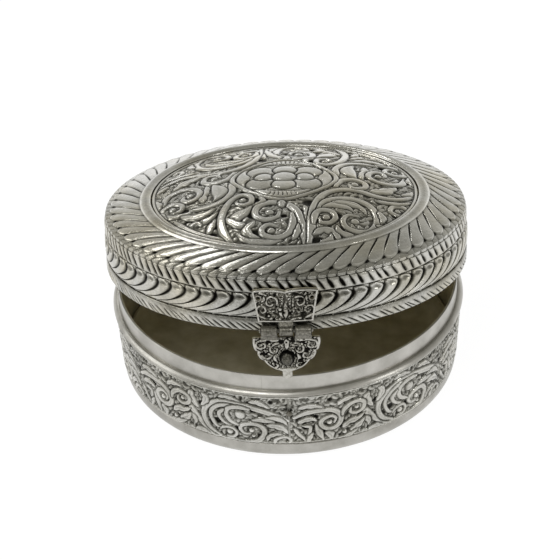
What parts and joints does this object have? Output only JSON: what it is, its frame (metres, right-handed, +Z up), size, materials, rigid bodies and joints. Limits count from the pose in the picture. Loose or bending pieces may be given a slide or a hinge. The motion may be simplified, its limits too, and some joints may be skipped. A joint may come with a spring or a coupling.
{
  "type": "round metal box with hinged lid",
  "caption": "Round embossed metal box with a domed leaf-banded lid on a rear hinge and a lobed front hasp that swings down over a catch button.",
  "frame": {"origin": "centre of the flat foot, on the surface the box stands on", "axes": "+Z up along the body's axis, -Y towards the front with the hasp, +Y towards the rear hinge, +X to the right as seen from the front"},
  "size_m": [0.1298, 0.1365, 0.0787],
  "materials": {
    "plain_metal": "satin white metal",
    "embossed_body": "embossed white metal, darkened in the hollows",
    "embossed_lid": "embossed white metal, worn bright on the crests",
    "cast_fittings": "cast white metal, darkened in the hollows"
  },
  "bodies": {
    "base": {"base_dish": "plain_metal", "base_wall": "embossed_body", "ledge_ring": "plain_metal", "neck_collar": "plain_metal", "catch_button": "cast_fittings", "hinge_body_leaf": "cast_fittings", "hinge_pin": "cast_fittings"},
    "lid": {"lid_skirt": "embossed_lid", "rim_rope": "embossed_lid", "shoulder_rope": "embossed_lid", "lid_top": "embossed_lid", "latch_plate": "cast_fittings", "hinge_lid_leaf": "cast_fittings", "latch_pin": "cast_fittings"},
    "hasp": {"hasp_leaf": "cast_fittings"}
  },
  "joints": [
    {"name": "lid_hinge", "type": "hinge", "parent": "base", "child": "lid", "pos_m": [0, 0.06708, 0.03135], "axis": [-1, 0, 0], "range_deg": [-11.2, 94]},
    {"name": "hasp_hinge", "type": "hinge", "parent": "lid", "child": "hasp", "pos_m": [0, -0.0642, 0.05903], "axis": [-1, 0, 0], "range_deg": [-4, 120]}
  ]
}
